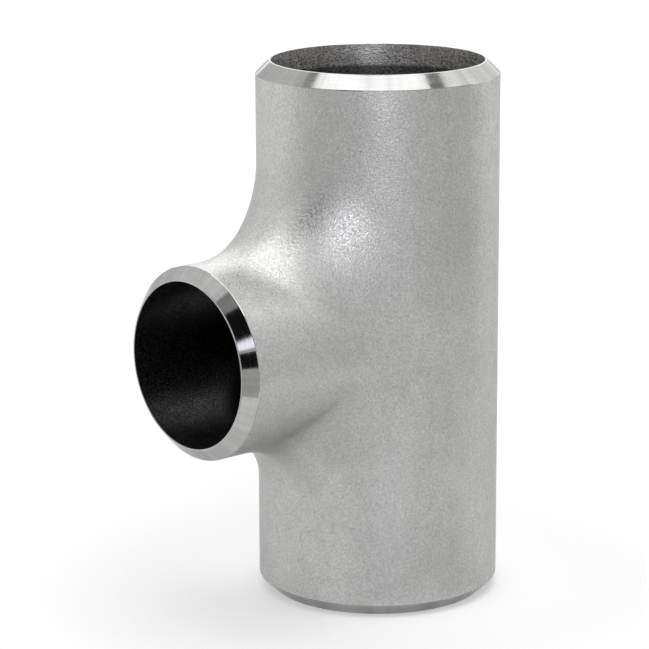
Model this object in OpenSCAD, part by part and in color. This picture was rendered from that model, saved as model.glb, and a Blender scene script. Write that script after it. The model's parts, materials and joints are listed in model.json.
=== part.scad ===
// Reducing tee for butt welding, formed from one length of seamless pipe.
// The run stands on its lower end, along Z, and the smaller branch leaves
// it along -Y. The origin is where the two axes cross.

/* [Run] */
// Outside diameter of the run
run_od = 57; // [55:0.1:60]
// Wall of the run at its weld ends
run_wall = 3.6; // [3:0.1:4.5]
// From the crossing of the axes to the face of each run end
run_reach = 63.5; // [62:0.5:80]

/* [Branch] */
// Outside diameter of the branch
branch_od = 44.5; // [42:0.1:46]
// Wall of the branch at its weld end
branch_wall = 3.2; // [2.8:0.1:4]
// From the axis of the run to the face of the branch end
branch_reach = 58; // [57:0.5:72]

/* [Weld ends] */
// Slope of the weld bevels, measured from the end face
bevel_angle = 44; // [30:1:48]
// Width of the flat root face between bevel and bore
root_face = 0.4; // [0.2:0.1:1]

/* [Crotch] */
// How far the crotch sweeps up the run above the branch
run_sweep_top = 25.5; // [12:0.5:32]
// How far it sweeps along the branch there
branch_sweep_top = 23; // [16:0.5:25]
// Radius of its sweep round the run beside the branch
run_sweep_side = 42; // [20:1:70]
// Radius of its sweep along the sides of the branch
branch_sweep_side = 22; // [15:0.5:25]
// How far it sweeps down the run below the branch
run_sweep_foot = 15.5; // [8:0.5:28]
// How far it sweeps along the branch there
branch_sweep_foot = 20.5; // [14:0.5:25]
// Fullness of the curve above the branch
fullness_top = 0.78; // [0.5:0.01:0.9]
// Fullness of the curve beside the branch
fullness_side = 0.54; // [0.5:0.01:0.9]
// Fullness of the curve below the branch
fullness_foot = 0.82; // [0.5:0.01:0.9]

/* [Hidden] */

run_r = run_od / 2;
branch_r = branch_od / 2;
run_bore_r = run_r - run_wall;
branch_bore_r = branch_r - branch_wall;
// Length of each bevel along its pipe
run_bevel = (run_wall - root_face) * tan(bevel_angle);
branch_bevel = (branch_wall - root_face) * tan(bevel_angle);

// The skin of blasted stainless steel
steel = [0.67, 0.67, 0.65];
// How far the bores are cut past the end faces
overcut = 2;
// How deep the edges of the crotch surface are tucked under the two pipes
tuck = 0.05;
// Number of sections round the branch, and of steps along each section
sections = 96;
steps = 12;
$fn = 128;

// Value at the angle a round the branch, eased from its sides to its top and foot
function round_branch(top, side, foot, a) =
    side + ((sin(a) > 0 ? top : foot) - side) * pow(sin(a), 2);

function run_sweep(a) = round_branch(run_sweep_top, run_sweep_side, run_sweep_foot, a);

function branch_sweep(a) = round_branch(branch_sweep_top, branch_sweep_side, branch_sweep_foot, a);

function fullness(a) = round_branch(fullness_top, fullness_side, fullness_foot, a);

// Centre of a ball of radius ball that rests on both pipes at angle a
function ball_seat(pipe_r, limb_r, ball, a) =
    let (side = (limb_r + ball) * cos(a))
    [side, -sqrt(pow(pipe_r + ball, 2) - side * side), (limb_r + ball) * sin(a)];

// Outward direction of the run's skin below that ball
function run_facing(seat) = [seat.x, seat.y, 0] / norm([seat.x, seat.y]);

// Point that three planes share, each given by its direction and offset
function meeting_point(n1, d1, n2, d2, n3, d3) =
    (d1 * cross(n2, n3) + d2 * cross(n3, n1) + d3 * cross(n1, n2)) / (n1 * cross(n2, n3));

// Point at t, from 0 to 1, on a conic arc from p1 to p2 that aims at corner
function arc_point(p1, corner, p2, full, t) =
    let (a = (1 - t) * (1 - t), b = 2 * full * t * (1 - t), c = t * t)
    (a * p1 + b * corner + c * p2) / (a + b + c);

// One section of the crotch, from the run's skin to the branch's skin,
// level with both of them where it meets them
function crotch_section(pipe_r, limb_r, a) =
    let (
        run_seat = ball_seat(pipe_r, limb_r, run_sweep(a), a),
        limb_seat = ball_seat(pipe_r, limb_r, branch_sweep(a), a),
        n1 = run_facing(run_seat),
        n2 = [cos(a), 0, sin(a)],
        p1 = [n1.x * pipe_r, n1.y * pipe_r, run_seat.z],
        p2 = [n2.x * limb_r, limb_seat.y, n2.z * limb_r],
        n3 = cross(p2 - p1, n1 + n2),
        corner = meeting_point(n1, n1 * p1, n2, n2 * p2, n3, n3 * p1)
    )
    [for (i = [0 : steps])
        arc_point(p1 - tuck * n1, corner, p2 - tuck * n2, fullness(a), i / steps)];

// Solid that fills the crotch between a run of radius pipe_r and a branch
// of radius limb_r, closed by two cones buried inside the pipes
module crotch_fill(pipe_r, limb_r) {
    rows = steps + 1;
    points = [for (k = [0 : sections - 1]) each crotch_section(pipe_r, limb_r, 360 * k / sections)];
    run_tip = len(points);
    limb_tip = run_tip + 1;
    tips = [[0, 0, 0], [0, -(pipe_r + branch_sweep_top), 0]];
    function at(k, i) = (k % sections) * rows + i;
    skin = [for (k = [0 : sections - 1], i = [0 : steps - 1]) each
        [[at(k, i), at(k, i + 1), at(k + 1, i + 1)], [at(k, i), at(k + 1, i + 1), at(k + 1, i)]]];
    cones = [for (k = [0 : sections - 1]) each
        [[run_tip, at(k, 0), at(k + 1, 0)], [limb_tip, at(k + 1, steps), at(k, steps)]]];
    polyhedron(points = concat(points, tips), faces = concat(skin, cones), convexity = 6);
}

// Solid bar whose far end is bevelled down to tip_r over the given length
module bevelled_bar(r, tip_r, reach, bevel) {
    cylinder(h = reach - bevel, r = r);
    translate([0, 0, reach - bevel])
        cylinder(h = bevel, r1 = r, r2 = tip_r);
}

// Outer form: both pipes with their weld bevels, and the crotch between them
module outer_form() {
    for (turn = [0, 180])
        rotate([turn, 0, 0])
            bevelled_bar(run_r, run_bore_r + root_face, run_reach, run_bevel);
    rotate([90, 0, 0])
        bevelled_bar(branch_r, branch_bore_r + root_face, branch_reach, branch_bevel);
    crotch_fill(run_r, branch_r);
}

// Passage: both bores, joined by the same sweep as the outside
module passage() {
    translate([0, 0, -run_reach - overcut])
        cylinder(h = 2 * (run_reach + overcut), r = run_bore_r);
    rotate([90, 0, 0])
        cylinder(h = branch_reach + overcut, r = branch_bore_r);
    crotch_fill(run_bore_r, branch_bore_r);
}

module tee_body() {
    color(steel)
        difference() {
            outer_form();
            passage();
        }
}

tee_body();
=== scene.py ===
import json
import math

import bmesh
import bpy
from mathutils import Matrix, Vector


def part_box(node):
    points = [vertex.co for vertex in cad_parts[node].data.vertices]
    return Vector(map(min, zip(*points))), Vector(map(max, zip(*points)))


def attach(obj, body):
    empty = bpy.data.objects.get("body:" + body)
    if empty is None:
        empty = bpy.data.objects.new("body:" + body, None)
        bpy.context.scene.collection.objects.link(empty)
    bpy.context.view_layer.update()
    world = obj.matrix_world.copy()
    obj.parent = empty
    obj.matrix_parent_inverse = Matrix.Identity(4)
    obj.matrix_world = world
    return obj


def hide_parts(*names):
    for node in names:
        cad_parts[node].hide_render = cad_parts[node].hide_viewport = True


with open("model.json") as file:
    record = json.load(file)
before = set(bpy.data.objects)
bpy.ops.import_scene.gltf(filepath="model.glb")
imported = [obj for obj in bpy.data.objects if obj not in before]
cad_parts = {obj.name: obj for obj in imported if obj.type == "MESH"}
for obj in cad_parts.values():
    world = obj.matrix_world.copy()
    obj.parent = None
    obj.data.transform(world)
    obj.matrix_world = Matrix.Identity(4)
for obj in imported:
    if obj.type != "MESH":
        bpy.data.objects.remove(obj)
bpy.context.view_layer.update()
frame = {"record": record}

# Camera
# A long lens stands a little above the tee and to the right of its branch,
# so that the branch's bevel, its bore and the rim of the run all show.
CAMERA_PLACE = Vector((0.4904, -0.4480, 0.1616))
CAMERA_AIM = Vector((-0.0085, -0.0093, 0.0))
CAMERA_ROLL = math.radians(-0.22)
LENS_MM = 159.9
SENSOR_MM = 36.0

scene = bpy.context.scene
camera = bpy.data.objects.new("camera", bpy.data.cameras.new("camera"))
camera.data.lens = LENS_MM
camera.data.sensor_width = SENSOR_MM
camera.location = CAMERA_PLACE
sight = (CAMERA_AIM - CAMERA_PLACE).to_track_quat("-Z", "Y").to_matrix()
camera.rotation_euler = (sight @ Matrix.Rotation(CAMERA_ROLL, 3, "Z")).to_euler()
scene.collection.objects.link(camera)
scene.camera = camera
scene.view_settings.view_transform = "Standard"

# Floor and white room
# A pale sheet of board under the tee, in a plain white room. Both show their
# white to the camera and in reflections, and the board keeps a soft shadow.
FLOOR_HALF = 3.0
BOARD_WHITE = (0.80, 0.80, 0.80, 1)
BOARD_ROUGHNESS = 0.9
BOARD_SHINE = 0.1
# The board shows lighter than it is lit: from NEAR to FAR out from the tee's
# centre the lift grows, and painted light round the foot lightens the shadow's core
NEAR, FAR = 0.08, 0.80
NEAR_LIFT, FAR_LIFT = 0.19, 0.62
FOOT, FOOT_EDGE = 0.030, 0.090
FOOT_PAINTED_LIGHT = 0.45
ROOM_WHITE = (1.0, 1.0, 1.0, 1)
ROOM_LIGHT = 0.5
# Where most values of a noise lie
NOISE_MIDDLE = (0.3, 0.7)


def new_material(name):
    """A material with an empty node tree and its output; returns all three."""
    material = bpy.data.materials.new(name)
    material.use_nodes = True
    nodes = material.node_tree.nodes
    nodes.clear()
    return material, nodes, nodes.new("ShaderNodeOutputMaterial")


def join(material, *pairs):
    """Links each output socket to the input socket it is paired with."""
    for source, target in pairs:
        material.node_tree.links.new(source, target)


def reckon(material, operation, *values):
    """Output of a Math node that the given output sockets feed."""
    node = material.node_tree.nodes.new("ShaderNodeMath")
    node.operation = operation
    join(material, *zip(values, node.inputs))
    return node.outputs["Value"]


def spread(material, factor, to, over=NOISE_MIDDLE):
    """Maps a factor from the range over onto the range to."""
    ramp = material.node_tree.nodes.new("ShaderNodeMapRange")
    ramp.inputs["From Min"].default_value, ramp.inputs["From Max"].default_value = over
    ramp.inputs["To Min"].default_value, ramp.inputs["To Max"].default_value = to
    join(material, (factor, ramp.inputs["Value"]))
    return ramp.outputs["Result"]


def shown(material, unseen, seen):
    """One value for light that falls on things, another for what an eye or a mirror sees."""
    rays = material.node_tree.nodes.new("ShaderNodeLightPath").outputs
    sight = rays["Is Camera Ray"]
    for ray in ("Is Glossy Ray", "Is Transmission Ray"):
        sight = reckon(material, "MAXIMUM", sight, rays[ray])
    return spread(material, sight, (unseen, seen), over=(0, 1))


def board():
    """White board, lifted where the camera and reflections see it, with painted light in its shadow
    round the foot.
    """
    material, nodes, output = new_material("white_board")
    paper = nodes.new("ShaderNodeBsdfPrincipled")
    paper.inputs["Base Color"].default_value = BOARD_WHITE
    paper.inputs["Roughness"].default_value = BOARD_ROUGHNESS
    paper.inputs["Specular IOR Level"].default_value = BOARD_SHINE
    paper.inputs["Emission Color"].default_value = ROOM_WHITE
    place = nodes.new("ShaderNodeTexCoord")
    distance = nodes.new("ShaderNodeVectorMath")
    distance.operation = "LENGTH"
    join(material, (place.outputs["Object"], distance.inputs[0]))
    away = distance.outputs["Value"]
    lift = spread(material, away, (NEAR_LIFT, FAR_LIFT), over=(NEAR, FAR))
    # Painted light round the foot, which lightens the core of the tee's shadow
    painted_foot_light = spread(material, away, (FOOT_PAINTED_LIGHT, 0), over=(FOOT, FOOT_EDGE))
    for part in (lift, painted_foot_light):
        part.node.interpolation_type = "SMOOTHSTEP"
    glow = reckon(material, "MULTIPLY", reckon(material, "ADD", lift, painted_foot_light), shown(material, 0, 1))
    join(material, (glow, paper.inputs["Emission Strength"]),
         (paper.outputs["BSDF"], output.inputs["Surface"]))
    return material


def add_piece(bm, name, *materials):
    """Turns a bmesh into a linked object at the origin, with its materials."""
    mesh = bpy.data.meshes.new(name)
    bm.to_mesh(mesh)
    bm.free()
    for material in materials:
        mesh.materials.append(material)
    piece = bpy.data.objects.new(name, mesh)
    scene.collection.objects.link(piece)
    return piece


low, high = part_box("tee_body")
bm = bmesh.new()
bmesh.ops.create_grid(bm, x_segments=1, y_segments=1, size=FLOOR_HALF,
                      matrix=Matrix.Translation((0, 0, low.z)))
floor = add_piece(bm, "floor", board())

world = bpy.data.worlds.new("white_room")
scene.world = world
world.use_nodes = True
room = world.node_tree.nodes["Background"]
room.inputs["Color"].default_value = ROOM_WHITE
join(world, (shown(world, ROOM_LIGHT, 1), room.inputs["Strength"]))

# Lamps
# Two softboxes, each a lamp behind a sheet of white cloth. A wide one hangs
# level overhead, and a small cool one stands to the right of the camera.
OVERHEAD = Vector((0.08, -0.085, 1.0))
OVERHEAD_WIDTH, OVERHEAD_DEPTH = 1.20, 0.93
OVERHEAD_RADIANCE = 2.25
OVERHEAD_TINT = (1.0, 1.0, 0.99)
FRONT_AZIMUTH, FRONT_ELEVATION = 54, 12.5
FRONT_WIDTH, FRONT_HEIGHT = 0.32, 0.25
FRONT_RADIANCE = 5.0
FRONT_TINT = (0.93, 0.93, 1.0)


def heading(azimuth, elevation):
    """Unit vector; azimuth 0 is along -Y and 90 along +X, in degrees."""
    a, e = math.radians(azimuth), math.radians(elevation)
    return Vector((math.sin(a) * math.cos(e), -math.cos(a) * math.cos(e), math.sin(e)))


def add_softbox(name, place, width, height, radiance, tint):
    """Area lamp that faces the origin, hidden from the camera."""
    lamp = bpy.data.lights.new(name, "AREA")
    lamp.shape = "RECTANGLE"
    lamp.size = width
    lamp.size_y = height
    lamp.energy = radiance * math.pi * width * height
    lamp.color = tint
    box = bpy.data.objects.new(name, lamp)
    box.location = place
    box.rotation_euler = (-place).to_track_quat("-Z", "Y").to_euler()
    box.visible_camera = False
    scene.collection.objects.link(box)
    return box


overhead = add_softbox("overhead_softbox", OVERHEAD, OVERHEAD_WIDTH, OVERHEAD_DEPTH,
                       OVERHEAD_RADIANCE, OVERHEAD_TINT)
overhead.rotation_euler = (0, 0, 0)
add_softbox("front_softbox", heading(FRONT_AZIMUTH, FRONT_ELEVATION), FRONT_WIDTH, FRONT_HEIGHT,
            FRONT_RADIANCE, FRONT_TINT)

# Flat cards
# Stiff cloth on frames, which the turned bevels mirror: a black skirt and grey
# flags round the overhead softbox, and a bright window among dark cloths.
SKIRT_WIDTH = 0.05
# The skirt hangs just behind the lamp, at this share of its distance
SKIRT_PLACE = 1.02


def card_material(name, tone, strength=1.0):
    """Card that shows one plain tone in reflections and lights nothing."""
    material, nodes, output = new_material(name)
    face = nodes.new("ShaderNodeEmission")
    face.inputs["Color"].default_value = tone
    face.inputs["Strength"].default_value = strength
    join(material, (face.outputs["Emission"], output.inputs["Surface"]))
    material.cycles.emission_sampling = "NONE"
    return material


def add_card(name, bm, material):
    """Card that only reflections show, as part of the studio."""
    card = add_piece(bm, name, material)
    card.visible_camera = False
    card.visible_diffuse = False
    card.visible_shadow = False


def flat_sheet(place, turn, width, height):
    """Rectangle of cloth about a place, as a bmesh."""
    bm = bmesh.new()
    shape = Matrix.Diagonal((width, height, 1, 1))
    bmesh.ops.create_grid(bm, x_segments=1, y_segments=1, size=0.5,
                          matrix=Matrix.Translation(place) @ turn @ shape)
    return bm


black_cloth = card_material("black_cloth", (0.010, 0.010, 0.012, 1))
grey_card = card_material("grey_card", (0.40, 0.40, 0.40, 1))
bright_window = card_material("front_window", (0.90, 0.90, 1.0, 1), strength=2.2)
skirt = flat_sheet(OVERHEAD * SKIRT_PLACE, Matrix.Identity(4),
                   OVERHEAD_WIDTH + 2 * SKIRT_WIDTH, OVERHEAD_DEPTH + 2 * SKIRT_WIDTH)
add_card("overhead_skirt", skirt, black_cloth)
# The name, place, width, height and material of each card that faces the tee
for name, place, width, height, material in (
        ("left_flag", Vector((-0.58, -0.30, 1.0)), 0.10, 0.40, grey_card),
        ("back_flag", Vector((0.27, 0.47, 1.0)), 0.34, 0.17, grey_card),
        ("front_window", heading(33, 17.5) * 1.2, 0.10, 0.19, bright_window),
        ("front_cloth", heading(20, 30) * 1.3, 0.48, 0.64, black_cloth),
        ("cloth_top", heading(6, 47) * 1.28, 0.44, 0.20, grey_card)):
    turn = (-place).to_track_quat("-Z", "Y").to_matrix().to_4x4()
    add_card(name, flat_sheet(place, turn, width, height), material)

# Curtains, walls and table cloths
# Sheets bent round the tee, whose tones its blasted skin mirrors: a grey
# curtain before it, bright walls behind it, and cloths on the table.
PANELS = 24
# The table cloth lies at the first height, and the foot cloth and the lower
# edge of the lamp cloth at the second
CLOTH_LEVEL, RAISED_LEVEL = low.z + 0.0005, low.z + 0.0010


def bent_sheet(azimuths, near, far):
    """Sheet round the Z axis; near and far are the distance and height of its edges."""
    first, last = azimuths
    bm = bmesh.new()
    for v in bmesh.ops.create_grid(bm, x_segments=PANELS, y_segments=1, size=0.5)["verts"]:
        distance, height = near if v.co.y < 0 else far
        azimuth = first + (v.co.x + 0.5) * (last - first)
        v.co = heading(azimuth, 0) * distance + Vector((0, 0, height))
    return bm


back_wall = card_material("back_wall", ROOM_WHITE, strength=1.5)
left_wall = card_material("left_wall", ROOM_WHITE, strength=2.3)
grey_curtain = card_material("grey_curtain", (0.67, 0.67, 0.67, 1))
foot_cloth = card_material("foot_cloth", ROOM_WHITE, strength=0.70)
table_cloth = card_material("grey_table_cloth", (0.62, 0.62, 0.615, 1))
# The name of each sheet, its first and last azimuth, the distance and height
# of its two edges, and its material
for name, azimuths, near, far, material in (
        ("lamp_cloth", (30, 43), (1.3, RAISED_LEVEL), (1.3, 0.24), black_cloth),
        ("back_wall", (140, 210), (1.6, 0.20), (1.6, 2.80), back_wall),
        ("left_wall", (208, 248), (1.5, 0.20), (1.5, 2.00), left_wall),
        ("front_curtain", (-35, 150), (1.6, low.z), (1.6, 1.16), grey_curtain),
        ("foot_cloth", (32, 124), (0.034, RAISED_LEVEL), (0.11, RAISED_LEVEL), foot_cloth),
        ("table_cloth", (-30, 156), (0.17, CLOTH_LEVEL), (1.6, CLOTH_LEVEL), table_cloth)):
    add_card(name, bent_sheet(azimuths, near, far), material)

# Reducing tee
# Seamless stainless pipe whose smaller branch is drawn out of the run's wall.
# The ends are turned to weld bevels, and the rest of the skin is blasted.
bores = {m["name"]: m["dims"]["r_mm"] / 1000
         for m in frame["record"]["mounts"] if m["kind"] == "bore"}
RUN_R = high.x
RUN_REACH = high.z
RUN_BORE_R = bores["run_bore"]
BRANCH_WALL = 0.0032
BRANCH_REACH = -low.y
BRANCH_BORE_R = bores["branch_bore"]
BRANCH_R = BRANCH_BORE_R + BRANCH_WALL
ROOT_FACE = 0.0004
BEVEL_ANGLE = math.radians(44)
# Sweep of the crotch up or down the run, and out along the branch, at the
# branch's top, side and foot, then the fullness of its curve
RUN_SWEEP = (0.0255, 0.0420, 0.0155)
BRANCH_SWEEP = (0.0230, 0.0220, 0.0205)
FULLNESS = (0.78, 0.54, 0.82)
# Sections round the branch that run to each end of the run, and to the line
# down its back where the wall closes, and rows along each section
TO_END = 128
TO_BACK = 32
SECTIONS = 2 * (TO_END + TO_BACK)
RUN_ROWS = 24
CROTCH_ROWS = 16
BRANCH_ROWS = 8
ROWS = RUN_ROWS + CROTCH_ROWS + BRANCH_ROWS
# Points closer than this are one
SAME_POINT = 1e-6
# An edge that turns by more than CORNER is broken by a flat that starts
# CORNER_BREAK from it, and one that turns by less than SMOOTH is shaded smooth
CORNER = math.radians(30)
CORNER_BREAK = 0.0001
SMOOTH = math.radians(12)
# Order of the finishes on the tee
BLASTED, TURNED_RUN, TURNED_BRANCH, INSIDE = range(4)
SKIN_GREY = (0.53, 0.53, 0.523, 1)
RUN_END_GREY = (0.41, 0.41, 0.405, 1)
BRANCH_END_GREY = (0.42, 0.42, 0.415, 1)
BORE_GREY = (0.47, 0.46, 0.45, 1)
EDGE_TINT = (0.70, 0.70, 0.70, 1)
# Painted shade in the bore: its tone deep inside and near the ends, and the
# heights between which it changes
BORE_PAINTED_SHADES = (0.14, 0.34)
BORE_HEIGHTS = (0.040, 0.056)
# How far in from the run's ends the bore is lighter, half the width of the line
# where that stops, and how much lighter it is there
END_BAND_REACH = 0.0052
END_BAND_FADE = 0.0003
END_BAND_LIFT = 3.5
# The lathe's rings: how slowly their grain changes round the axis, as a share
# of how fast it does along it, how much duller the coarse feed marks get, and
# how far the rings stretch a reflection
RING_STRETCH = 0.02
FEED_DULLING = 1.6
RING_STREAK = 0.5


def round_branch(sizes, a):
    """Eases a size from the branch's side to its top or foot."""
    top, side, foot = sizes
    end = top if math.sin(a) > 0 else foot
    return side + (end - side) * math.sin(a) ** 2


def ball_seat(pipe_r, limb_r, ball, a):
    """Centre of a ball that rests on the run and the branch at angle a."""
    side = (limb_r + ball) * math.cos(a)
    depth = math.sqrt((pipe_r + ball) ** 2 - side ** 2)
    return Vector((side, -depth, (limb_r + ball) * math.sin(a)))


def crotch_ends(pipe_r, limb_r, a):
    """Where section a leaves the run, the corner it aims at, where it meets the branch."""
    run_seat = ball_seat(pipe_r, limb_r, round_branch(RUN_SWEEP, a), a)
    limb_seat = ball_seat(pipe_r, limb_r, round_branch(BRANCH_SWEEP, a), a)
    n1 = Vector((run_seat.x, run_seat.y, 0)).normalized()
    n2 = Vector((math.cos(a), 0, math.sin(a)))
    start = Vector((n1.x * pipe_r, n1.y * pipe_r, run_seat.z))
    finish = Vector((n2.x * limb_r, limb_seat.y, n2.z * limb_r))
    n3 = (finish - start).cross(n1 + n2).normalized()
    across = (n1.dot(start) * n2.cross(n3) + n2.dot(finish) * n3.cross(n1)
              + n3.dot(start) * n1.cross(n2))
    return start, across / n1.dot(n2.cross(n3)), finish


def border(section):
    """Angle round the run, and share of its height, where a section starts."""
    if section <= TO_BACK:
        return math.pi, 2 * section / TO_BACK - 1
    if section <= TO_BACK + TO_END:
        return math.pi - 2 * math.pi * (section - TO_BACK) / TO_END, 1
    if section <= 2 * TO_BACK + TO_END:
        return -math.pi, 1 - 2 * (section - TO_BACK - TO_END) / TO_BACK
    return 2 * math.pi * (section - 2 * TO_BACK - TO_END) / TO_END - math.pi, -1


def wall_point(pipe_r, limb_r, pipe_end, limb_end, section, row):
    """Point of a wall: rows cross the run's skin, the crotch, then the branch."""
    a = 2 * math.pi * (section - TO_BACK / 2) / SECTIONS
    start, corner, finish = crotch_ends(pipe_r, limb_r, a)
    if row < RUN_ROWS:
        t = row / RUN_ROWS
        turn, share = border(section)
        turn += (math.atan2(start.x, -start.y) - turn) * t
        height = share * pipe_end + (start.z - share * pipe_end) * t
        return Vector((math.sin(turn) * pipe_r, -math.cos(turn) * pipe_r, height))
    if row <= RUN_ROWS + CROTCH_ROWS:
        t = (row - RUN_ROWS) / CROTCH_ROWS
        pull = 2 * round_branch(FULLNESS, a) * t * (1 - t)
        whole = (1 - t) ** 2 + pull + t ** 2
        return ((1 - t) ** 2 * start + pull * corner + t ** 2 * finish) / whole
    t = (row - RUN_ROWS - CROTCH_ROWS) / BRANCH_ROWS
    return Vector((finish.x, finish.y - (limb_end + finish.y) * t, finish.z))


def add_wall(bm, pipe_r, limb_r, pipe_end, limb_end, surface):
    """One wall of the tee, open at its three ends, as a grid bent into place."""
    made = bmesh.ops.create_grid(bm, x_segments=SECTIONS, y_segments=ROWS, size=0.5)["verts"]
    for v in made:
        section = round((v.co.x + 0.5) * SECTIONS)
        row = round((v.co.y + 0.5) * ROWS)
        v.co = wall_point(pipe_r, limb_r, pipe_end, limb_end, section, row)
    for face in {f for v in made for f in v.link_faces}:
        face.material_index = surface
    bmesh.ops.remove_doubles(bm, verts=made, dist=SAME_POINT)


def at_branch_end(point):
    """Whether a point of a rim belongs to the branch and not to the run."""
    return abs(point.z) < RUN_REACH / 2


def turn_rims(bm, pipe_r, limb_r):
    """Extrudes the three open rims to the end faces, at new radii, as a lathe cuts them."""
    rims = [e for e in bm.edges if e.is_boundary]
    for part in bmesh.ops.extrude_edge_only(bm, edges=rims)["geom"]:
        if isinstance(part, bmesh.types.BMFace):
            on_branch = at_branch_end(part.calc_center_median())
            part.material_index = TURNED_BRANCH if on_branch else TURNED_RUN
        elif isinstance(part, bmesh.types.BMVert) and at_branch_end(part.co):
            across = Vector((part.co.x, 0, part.co.z)).normalized() * limb_r
            part.co = across - Vector((0, BRANCH_REACH, 0))
        elif isinstance(part, bmesh.types.BMVert):
            across = Vector((part.co.x, part.co.y, 0)).normalized() * pipe_r
            part.co = across + Vector((0, 0, math.copysign(RUN_REACH, part.co.z)))


def build_tee():
    """Blasted skin, turned bevels, root faces and bore, closed into one shell."""
    run_tip_r = RUN_BORE_R + ROOT_FACE
    branch_tip_r = BRANCH_BORE_R + ROOT_FACE
    run_bevel = (RUN_R - run_tip_r) * math.tan(BEVEL_ANGLE)
    branch_bevel = (BRANCH_R - branch_tip_r) * math.tan(BEVEL_ANGLE)
    bm = bmesh.new()
    add_wall(bm, RUN_R, BRANCH_R, RUN_REACH - run_bevel, BRANCH_REACH - branch_bevel, BLASTED)
    turn_rims(bm, run_tip_r, branch_tip_r)
    turn_rims(bm, RUN_BORE_R, BRANCH_BORE_R)
    add_wall(bm, RUN_BORE_R, BRANCH_BORE_R, RUN_REACH, BRANCH_REACH, INSIDE)
    open_rims = [v for v in bm.verts if v.is_boundary]
    bmesh.ops.remove_doubles(bm, verts=open_rims, dist=SAME_POINT)
    bmesh.ops.recalc_face_normals(bm, faces=bm.faces)
    corners = [e for e in bm.edges if e.calc_face_angle() > CORNER]
    bmesh.ops.bevel(bm, geom=corners, affect="EDGES", offset=CORNER_BREAK, segments=1,
                    profile=0.5, material=-1, clamp_overlap=True)
    for face in bm.faces:
        face.smooth = True
    for edge in bm.edges:
        edge.smooth = edge.calc_face_angle() < SMOOTH
    return bm


def object_point(material, scale=(1, 1, 1)):
    """Object coordinates stretched by scale, as a Mapping node's output."""
    nodes = material.node_tree.nodes
    place = nodes.new("ShaderNodeTexCoord")
    mapping = nodes.new("ShaderNodeMapping")
    mapping.inputs["Scale"].default_value = scale
    join(material, (place.outputs["Object"], mapping.inputs["Vector"]))
    return mapping.outputs["Vector"]


def noise(material, point, scale, detail, roughness):
    """Noise at a point, about scale marks to each unit of it, as its factor output."""
    texture = material.node_tree.nodes.new("ShaderNodeTexNoise")
    texture.inputs["Scale"].default_value = scale
    texture.inputs["Detail"].default_value = detail
    texture.inputs["Roughness"].default_value = roughness
    join(material, (point, texture.inputs["Vector"]))
    return texture.outputs["Fac"]


def patchy_roughness(material, point, scale, to):
    """Roughness that differs from bead mark to bead mark, which makes the skin sparkle."""
    marks = noise(material, point, scale, detail=1, roughness=0.6)
    return spread(material, marks, to, over=(0.35, 0.65))


def shade(material, colour, *factors):
    """A colour multiplied by each grey factor, as a colour output."""
    nodes = material.node_tree.nodes
    tone = nodes.new("ShaderNodeRGB").outputs[0]
    tone.default_value = colour
    for factor in factors:
        product = nodes.new("ShaderNodeVectorMath")
        product.operation = "SCALE"
        join(material, (tone, product.inputs[0]), (factor, product.inputs["Scale"]))
        tone = product.outputs["Vector"]
    return tone


def bump(material, height, strength, distance):
    """Relief of a height, as a normal output."""
    node = material.node_tree.nodes.new("ShaderNodeBump")
    node.inputs["Strength"].default_value = strength
    node.inputs["Distance"].default_value = distance
    join(material, (height, node.inputs["Height"]))
    return node.outputs["Normal"]


def steel_shader(material, nodes, output, tone, roughness, normal):
    """Bare metal shader fed by a tone, a roughness and a normal."""
    metal = nodes.new("ShaderNodeBsdfPrincipled")
    metal.inputs["Metallic"].default_value = 1.0
    metal.inputs["Specular Tint"].default_value = EDGE_TINT
    join(material, (tone, metal.inputs["Base Color"]), (roughness, metal.inputs["Roughness"]),
         (normal, metal.inputs["Normal"]), (metal.outputs["BSDF"], output.inputs["Surface"]))
    return metal


def blasted_steel():
    """Satin grey of glass-bead blasting: cloudy in tone, with a fine bright grain."""
    material, nodes, output = new_material("blasted_skin")
    point = object_point(material)
    clouds = noise(material, point, scale=55, detail=4, roughness=0.6)
    patches = noise(material, point, scale=300, detail=3, roughness=0.6)
    grain = noise(material, point, scale=1900, detail=2, roughness=0.65)
    tone = shade(material, SKIN_GREY, spread(material, clouds, (0.93, 1.05)),
                 spread(material, patches, (0.96, 1.04)), spread(material, grain, (0.84, 1.16)))
    roughness = patchy_roughness(material, point, 2000, (0.31, 0.53))
    pits = bump(material, grain, strength=0.5, distance=0.00015)
    steel_shader(material, nodes, output, tone, roughness, pits)
    return material


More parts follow.
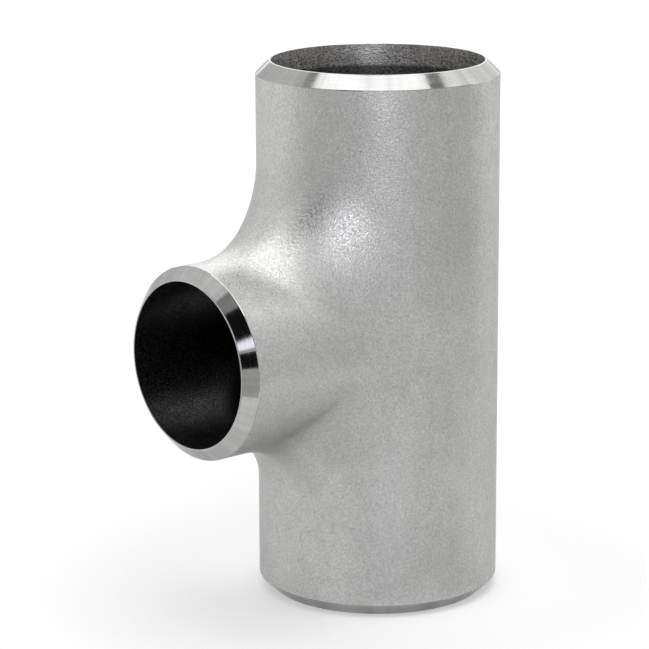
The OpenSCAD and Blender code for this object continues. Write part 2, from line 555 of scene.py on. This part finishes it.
def turned_steel(name, along, colour, dullness):
    """Bright cut of the lathe tool: fine rings round the axis that along picks out."""
    material, nodes, output = new_material(name)
    rings = object_point(material, tuple(1 if i == along else RING_STRETCH for i in range(3)))
    lines = noise(material, rings, scale=6000, detail=2, roughness=0.6)
    feeds = noise(material, rings, scale=1500, detail=2, roughness=0.6)
    stain = noise(material, object_point(material), scale=160, detail=3, roughness=0.6)
    place = nodes.new("ShaderNodeTexCoord")
    across = nodes.new("ShaderNodeVectorMath")
    across.operation = "CROSS_PRODUCT"
    across.inputs[1].default_value = tuple(float(i == along) for i in range(3))
    unit = nodes.new("ShaderNodeVectorMath")
    unit.operation = "NORMALIZE"
    join(material, (place.outputs["Object"], across.inputs[0]),
         (across.outputs["Vector"], unit.inputs[0]))
    round_axis = unit.outputs["Vector"]
    chatter = noise(material, round_axis, scale=6, detail=3, roughness=0.7)
    tone = shade(material, colour, spread(material, stain, (0.94, 1.04)),
                 spread(material, chatter, (0.84, 1.16)), spread(material, lines, (0.94, 1.06)))
    roughness = spread(material, feeds, (dullness, FEED_DULLING * dullness))
    cut = bump(material, lines, strength=0.05, distance=0.00004)
    metal = steel_shader(material, nodes, output, tone, roughness, cut)
    metal.inputs["Anisotropic"].default_value = RING_STREAK
    join(material, (round_axis, metal.inputs["Tangent"]))
    return material


def inside_steel():
    """Bore, with painted shade that darkens it deeper inside, and lighter a short way in from the
    run's ends.
    """
    material, nodes, output = new_material("inside_steel")
    place = nodes.new("ShaderNodeTexCoord")
    split = nodes.new("ShaderNodeSeparateXYZ")
    join(material, (place.outputs["Object"], split.inputs[0]))
    height = reckon(material, "ABSOLUTE", split.outputs["Z"])
    # Painted shade: the bore darkens deeper inside
    painted_deep_shade = spread(material, height, BORE_PAINTED_SHADES, over=BORE_HEIGHTS)
    edge = RUN_REACH - END_BAND_REACH
    # The bore is lighter for a short way in from the run's ends
    end_band = spread(material, height, (1, END_BAND_LIFT), over=(edge - END_BAND_FADE, edge + END_BAND_FADE))
    point = object_point(material)
    grain = noise(material, point, scale=2300, detail=1.5, roughness=0.6)
    mill_scale = noise(material, point, scale=180, detail=4, roughness=0.6)
    tone = shade(material, BORE_GREY, painted_deep_shade, end_band, spread(material, mill_scale, (0.8, 1.15)),
                 spread(material, grain, (0.80, 1.24)))
    roughness = patchy_roughness(material, point, 1800, (0.28, 0.50))
    pits = bump(material, grain, strength=0.5, distance=0.00012)
    steel_shader(material, nodes, output, tone, roughness, pits)
    return material


tee = add_piece(build_tee(), "reducing_tee", blasted_steel(),
                turned_steel("turned_run_ends", along=2, colour=RUN_END_GREY, dullness=0.09),
                turned_steel("turned_branch_end", along=1, colour=BRANCH_END_GREY,
                             dullness=0.055),
                inside_steel())
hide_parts("tee_body")
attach(tee, "root")
